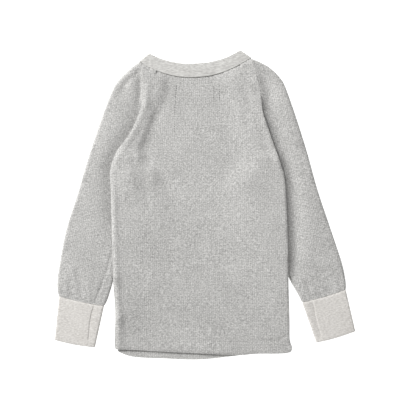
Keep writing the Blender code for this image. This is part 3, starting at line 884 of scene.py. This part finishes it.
def cuff_path(width):
    """Round a flattened tube: the share across for the flat parts, and the angle of the folds."""
    flat = np.linspace(0, 1, int(CUFF_ROUND * 0.45), endpoint=False)
    bend = np.linspace(0, math.pi, int(CUFF_ROUND * 0.05), endpoint=False)
    share = np.r_[flat, np.ones(len(bend)), 1 - flat, np.zeros(len(bend))]
    level = np.full(len(flat), math.pi / 2)
    angle = np.r_[-level, bend - math.pi / 2, level, math.pi / 2 - bend]
    round_it = bend * TUBE / 2
    back_at = width + math.pi * TUBE / 2
    walked = np.r_[flat * width, width + round_it, back_at + flat * width, back_at + width + round_it]
    return share, angle, walked


# %% Build a cuff
def build_cuff(side):
    """Each row of points is a share of the length and a depth below the outside."""
    cuff = CUFFS[side]
    top_outer, top_inner, mouth_outer, mouth_inner = (np.array(corner, float) for corner in cuff[:4])
    width = np.linalg.norm(top_outer - top_inner)
    share, angle, walked = cuff_path(width)
    down = np.linspace(0, 1, 30)
    turn = np.linspace(0, math.pi, 9)[1:-1]
    tall = np.linalg.norm(top_outer - mouth_outer)
    mouth = 0.5 * RIB / tall
    rows = [(v * (1 - mouth), 0.0) for v in down]
    rows += [(1 - mouth * (1 - math.sin(a)), RIB / 2 * (1 - math.cos(a))) for a in turn]
    rows += [(v * (1 - mouth), RIB) for v in down[::-1]]
    seam = curve(CUFF_SEAMS[side])
    points = []
    for v, depth in rows:
        a = top_inner + (mouth_inner - top_inner) * v
        b = top_outer + (mouth_outer - top_outer) * v
        wide = np.linalg.norm(b - a)
        radius = TUBE / 2 - depth
        inset = (depth + radius * (1 - np.cos(angle))) / wide
        s = inset + share * (1 - 2 * inset)
        plan = a + (b - a) * s[:, None]
        plan[:, 1] += cuff.sag * np.sin(math.pi * s)
        upper = np.sin(angle) > 0.5
        ribs = (0.5 + 0.5 * np.cos(2 * math.pi * walked / CUFF_RIB)) * RIB_RELIEF
        ribs += 0.05 * rng.standard_normal(len(ribs))
        beside = nearest(plan, seam)[0] * SIGN[side]
        sunk = SEAM_DEEP * bell(beside, SEAM_WIDE)
        sunk = (sunk + STRIP[side] * bell(beside, STRIP_WIDE) * (beside < 0)) * upper
        crown = 0.5 * np.sin(math.pi * s) * upper * (depth < RIB / 2)
        mouth_gap = 0.7 * smooth((v - 0.8) / 0.2) * bell(s - 0.18, 0.12) * upper
        dip = CUFF_DIP * bell(v * tall, 1.7)
        z = TUBE / 2 + radius * np.sin(angle) + crown + mouth_gap
        z -= np.sin(angle) * (RIB_RELIEF - ribs + sunk + dip) * (depth < RIB / 2)
        points.append(np.c_[plan, z])
    points = np.vstack(points)
    index = np.arange(len(points)).reshape(len(rows), -1)
    ahead = np.roll(index, -1, axis=1)
    faces = np.stack([index[:-1], ahead[:-1], ahead[1:], index[1:]], -1).reshape(-1, 4)
    faces = np.vstack([faces, np.stack([index[-1], ahead[-1], ahead[0], index[0]], -1)])
    if side == "left":
        faces = faces[:, ::-1]
    return make_piece(f"cuff_{side}_rib", points, faces, "cuff rib")


cuffs = {side: build_cuff(side) for side in ("left", "right")}

# %% [markdown]
# ## The neck binding
# The binding is a folded strip of rib that wraps the neck's edge. It runs along the back, turns at the
# shoulder and comes back along the front, which hangs lower. A rounded band is swept round that loop.

# %% Build the binding
BAND_AROUND = 44  # points round the band's section
BAND_LONG = 230  # steps along each stretch
BAND_RIB = 1.5  # fine lines along the band
BAND_MEAN = 175  # rough length of one stretch
BAND_RELIEF = 0.14
BAND_SWELL = 0.12  # how much thicker it is in its middle
BAND_SAG = 0.9  # the back stretch sinks towards the floor in its middle, but stays above the back's edge


def build_binding():
    turn = np.linspace(0, math.pi, 17)[1:-1]
    flat = np.linspace(0, 1, BAND_LONG)
    share = np.r_[flat, np.ones(len(turn)), flat[::-1], np.zeros(len(turn))]
    level = np.full(BAND_LONG, math.pi / 2)
    angle = np.r_[level, math.pi / 2 - turn, -level, turn - math.pi / 2]
    fold = (BINDING_HEIGHT - RIB) / 2
    inset = fold * (1 - np.cos(angle)) / BAND_MEAN
    share = inset + share * (1 - 2 * inset)
    lift = (1 + np.sin(angle))[:, None] / 2
    edges = []
    for under, over in ((BINDING_FRONT_SEWN, BINDING_BACK_SEWN), (BINDING_FRONT_FREE, BINDING_BACK_FREE)):
        low, high = along(curve(under), share), along(curve(over), share)
        edges.append(low + (high - low) * lift)
    sewn, free = edges
    sag = BAND_SAG * smooth(4 * share * (1 - share)) * lift[:, 0]
    middle = RIB / 2 + fold * (1 + np.sin(angle)) - sag
    way = free - sewn
    width = np.linalg.norm(way, axis=1)
    side = np.stack([way[:, 1], -way[:, 0]], -1) / width[:, None]
    outwards = np.where(share > 0.5, 1, -1)
    # Round the section: up one face, over the free edge, and back on the other face
    face = np.linspace(0, 1, BAND_AROUND // 2 - 6)
    bend = np.linspace(0, math.pi, 8)[1:-1]
    radius = RIB / 2
    across = np.r_[face, np.ones(len(bend)), face[::-1], np.zeros(len(bend))]
    reach = np.r_[np.zeros(len(face)), np.sin(bend), np.zeros(len(face)), -np.sin(bend)]
    rise = np.r_[np.ones(len(face)), np.cos(bend), -np.ones(len(face)), -np.cos(bend)]
    points = []
    for a, r, h in zip(across, reach, rise):
        at = radius / width + a * (1 - 2 * radius / width) + r * radius / width
        plan = sewn + way * at[:, None]
        ribs = 0.5 + 0.5 * np.cos(2 * math.pi * at * width / BAND_RIB)
        swell = BAND_SWELL * math.sin(math.pi * a) if abs(h) == 1 else 0.0
        thick = radius * h * (1 + swell) - np.sign(h) * BAND_RELIEF * (1 - ribs) * (abs(h) == 1)
        plan = plan + side * (thick * np.cos(angle) * outwards)[:, None]
        points.append(np.c_[plan, middle + thick * np.sin(angle)])
    points = np.stack(points, axis=1)
    loops, around = points.shape[:2]
    index = np.arange(loops * around).reshape(loops, around)
    ahead, next_one = np.roll(index, -1, axis=0), np.roll(index, -1, axis=1)
    faces = np.stack([index, ahead, np.roll(ahead, -1, axis=1), next_one], -1).reshape(-1, 4)
    return make_piece("neck_binding_rib", points.reshape(-1, 3), faces, "binding rib")


binding = build_binding()

# %% [markdown]
# ## Stitches
# Stitches repeat along a line, so Geometry Nodes make them: the line is resampled at the stitch pitch, a
# small rounded bar sits on each point along the line, and the copies are realized into a mesh with the
# thread's material.


# %% The stitch tree
def stitch_tree():
    tree, given, result = new_group(
        "stitch row",
        [
            ("Geometry", GEOMETRY, None), ("Pitch", NUMBER, 0.003), ("Length", NUMBER, 0.0022),
            ("Width", NUMBER, 0.0005), ("Lean", NUMBER, 0.0), ("Seed", "NodeSocketInt", 3),
            ("Thread", "NodeSocketMaterial", None),
        ],
        [("Geometry", GEOMETRY, None)],
        "GeometryNodeTree",
    )
    line = add(tree, "GeometryNodeMeshToCurve")
    dots = add(tree, "GeometryNodeResampleCurve", mode="LENGTH")
    way = add(tree, "GeometryNodeInputTangent")
    facing = add(tree, "FunctionNodeAlignRotationToVector", axis="X")
    lean = add(tree, "FunctionNodeRotateRotation", rotation_space="LOCAL")
    euler = add(tree, "ShaderNodeCombineXYZ")
    stray = add(tree, "FunctionNodeRandomValue", {2: -0.12, 3: 0.12}, data_type="FLOAT")
    sum_lean = maths(tree, "ADD")
    bar = add(tree, "GeometryNodeMeshUVSphere", {"Segments": 8, "Rings": 5, "Radius": 0.5})
    size = add(tree, "ShaderNodeCombineXYZ")
    place = add(tree, "GeometryNodeInstanceOnPoints")
    real = add(tree, "GeometryNodeRealizeInstances")
    finish = add(tree, "GeometryNodeSetMaterial")
    smooth_it = add(tree, "GeometryNodeSetShadeSmooth")
    wire(tree, [
        (given, "Geometry", line, 0), (line, 0, dots, "Curve"), (given, "Pitch", dots, "Length"),
        (dots, 0, place, "Points"), (way, 0, facing, "Vector"), (facing, 0, lean, 0),
        (given, "Lean", sum_lean, 0), (given, "Seed", stray, "Seed"), (stray, 1, sum_lean, 1),
        (sum_lean, 0, euler, "Z"), (euler, 0, lean, 1), (lean, 0, place, "Rotation"),
        (given, "Length", size, "X"), (given, "Width", size, "Y"), (given, "Width", size, "Z"),
        (bar, "Mesh", place, "Instance"), (size, 0, place, "Scale"), (place, 0, real, 0),
        (real, 0, smooth_it, 0), (smooth_it, 0, finish, "Geometry"), (given, "Thread", finish, "Material"),
        (finish, 0, result, 0),
    ])
    return tree


STITCHES = stitch_tree()


# %% Sew along lines
def sew(name, lines, thread, pitch, length, width):
    """One object with a row of stitches along each line of points, x y z in the pattern's millimetres."""
    mesh = bpy.data.meshes.new(name)
    points, pairs = [], []
    for line in lines:
        start = len(points)
        points += ((line - [*CENTRE, 0]) * MM).tolist()
        pairs += [(start + i, start + i + 1) for i in range(len(line) - 1)]
    mesh.from_pydata(points, pairs, [])
    piece = put(name, mesh)
    modifier = piece.modifiers.new("stitches", "NODES")
    modifier.node_group = STITCHES
    values = {
        "Pitch": pitch * MM, "Length": length * MM, "Width": width * MM, "Lean": 0.0, "Seed": 5,
        "Thread": materials[thread],
    }
    for item in STITCHES.interface.items_tree:
        if item.in_out == "INPUT" and item.name in values:
            modifier[item.identifier] = values[item.name]
    print(f"{name}: {len(make_plain(piece).polygons)} faces")
    return piece


# %% [markdown]
# ### Where the thread runs
# A coverstitch holds each turned hem with two rows of thread. The seams under the arms are only lines in
# the cloth, made with the folds. Five short marks high on the back are the stitches of what is sewn on
# inside the neck.


# %% Rows of stitches
ROW_GAP = 1.6  # from the middle of the hem's stitching to each row
HEM_THREAD = {"pitch": 3.1, "length": 2.3, "width": 0.5}
MARK_THREAD = {"pitch": 3.0, "length": 2.5, "width": 0.95}
THREAD_SINK = 0.15  # the knit closes over part of each stitch
LEVEL = 0.35  # steepest part of an edge that still counts as hem


def on_back(plan, sink):
    return np.c_[plan, back_height(plan) - THREAD_SINK - sink]


def inner_line(line, distance, steps=240):
    """A line inside a hem, between its rounded corners."""
    way = np.gradient(line, axis=0)
    level = line[np.abs(way[:, 1]) < LEVEL * np.abs(way[:, 0])]
    return along(moved(level, distance), np.linspace(0, 1, steps))


hem_rows, front_rows = [], []
for gap in (-ROW_GAP, ROW_GAP):
    hem_rows.append(on_back(inner_line(back_hem, HEM_DEPTH + gap), 0.1))
    plan = inner_line(front_hem, HEM_DEPTH + gap)
    front_rows.append(np.c_[plan, front_height(plan) - CLOTH + 0.55])
hem_thread = sew("hem_stitches", hem_rows, "body thread", **HEM_THREAD)
front_thread = sew("front_hem_stitches", front_rows, "body thread", **HEM_THREAD)
Mark = namedtuple("Mark", "x1 y1 x2 y2 sink")
MARKS = [
    Mark(-42, 178, -43.5, 162, -0.2),
    Mark(-44, 156, -44.5, 136, 0.2),
    Mark(-45, 121, -45.5, 107, 0.3),
    Mark(14, 177, 14, 155, 0.3),
    Mark(22, 179, 22, 158, 0.3),
]
marks = []
for mark in MARKS:
    share = np.linspace(0, 1, 12)[:, None]
    plan = np.array([mark.x1, mark.y1]) * (1 - share) + np.array([mark.x2, mark.y2]) * share
    marks.append(on_back(plan, mark.sink))
mark_thread = sew("inside_stitches", marks, "inside thread", **MARK_THREAD)


# %% [markdown]
# ## Put each piece on the body
# Every piece rides on the one body and stands for the imported node that it replaces, which is hidden.

# %% Ride and replace
Role = namedtuple("Role", "piece node slot")
roles = [
    Role(back, "back", "waffle_body"),
    Role(front, "front", "waffle_body"),
    Role(sleeves["left"], "sleeve_left", "waffle_sleeve"),
    Role(sleeves["right"], "sleeve_right", "waffle_sleeve"),
    Role(cuffs["left"], "cuff_left", "rib_cuff"),
    Role(cuffs["right"], "cuff_right", "rib_cuff"),
    Role(binding, "neck_binding", "rib_binding"),
]
for role in roles:
    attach(role.piece, "root")
    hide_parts(role.node)
for thread in (hem_thread, front_thread, mark_thread):
    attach(thread, "root")


def area_of(edges):
    """Area inside a closed outline, in square metres."""
    x, y = np.vstack(list(edges.values())).T * MM
    return 0.5 * abs(np.sum(x * np.roll(y, -1) - np.roll(x, -1) * y))


for side, width, length in (("left", 0.30, 0.375), ("right", 0.30, 0.37)):
    around = area_of(sleeve_edges(side, "top", 0)) + area_of(sleeve_edges(side, "under", 0))

# %% [markdown]
# ## Floor, light and camera
# A pale floor, lit until it is white, a large soft lamp from the upper left and a white room. The low angle
# of the lamp is what shows the waffle. The camera looks straight down.

# %% Floor
FLOOR_WIDE = 4
FLOOR_LOW = -0.0006
FLOOR_GLOW = 0.8
corners = [(x * FLOOR_WIDE, y * FLOOR_WIDE, FLOOR_LOW) for x, y in ((-1, -1), (1, -1), (1, 1), (-1, 1))]
floor_mesh = bpy.data.meshes.new("floor")
floor_mesh.from_pydata(corners, [], [(0, 1, 2, 3)])
floor = put("floor", floor_mesh)
pale = {
    "Base Color": (0.92, 0.92, 0.92, 1), "Roughness": 0.9,
    "Emission Color": (1, 1, 1, 1), "Emission Strength": FLOOR_GLOW,
}
floor_mesh.materials.append(new_material("pale floor", pale)[0])

# %% Light
ROOM_LIGHT = 0.48
LAMP_WIDE = 1.95
LAMP_POWER = 272.0
LAMP_AWAY = 4.5
LAMP_HIGH = math.radians(32)
LAMP_FROM = math.radians(140)
scene = bpy.context.scene
scene.world = bpy.data.worlds.new("white room")
scene.world.use_nodes = True
fill(scene.world.node_tree.nodes["Background"], {"Color": (1, 1, 1, 1), "Strength": ROOM_LIGHT})
lamp_data = bpy.data.lights.new("soft lamp", "AREA")
lamp_data.shape = "DISK"
lamp_data.size = LAMP_WIDE
lamp_data.energy = LAMP_POWER
lamp = put("soft lamp", lamp_data)
reach = LAMP_AWAY * math.cos(LAMP_HIGH)
lamp.location = (reach * math.cos(LAMP_FROM), reach * math.sin(LAMP_FROM), LAMP_AWAY * math.sin(LAMP_HIGH))
lamp.rotation_euler = (math.radians(90) - LAMP_HIGH, 0, LAMP_FROM + math.pi / 2)
scene.view_settings.view_transform = "Standard"

# %% Camera
CAMERA_UP = 2.2
VIEW_SIDE = 0.615  # width of the view at the cloth
SENSOR = 36
camera_data = bpy.data.cameras.new("camera")
camera_data.sensor_width = SENSOR
camera_data.lens = SENSOR * CAMERA_UP / VIEW_SIDE
camera = put("camera", camera_data)
camera.location = (0.00025, -0.0004, CAMERA_UP)
scene.camera = camera

# %% Update the scene
bpy.context.view_layer.update()
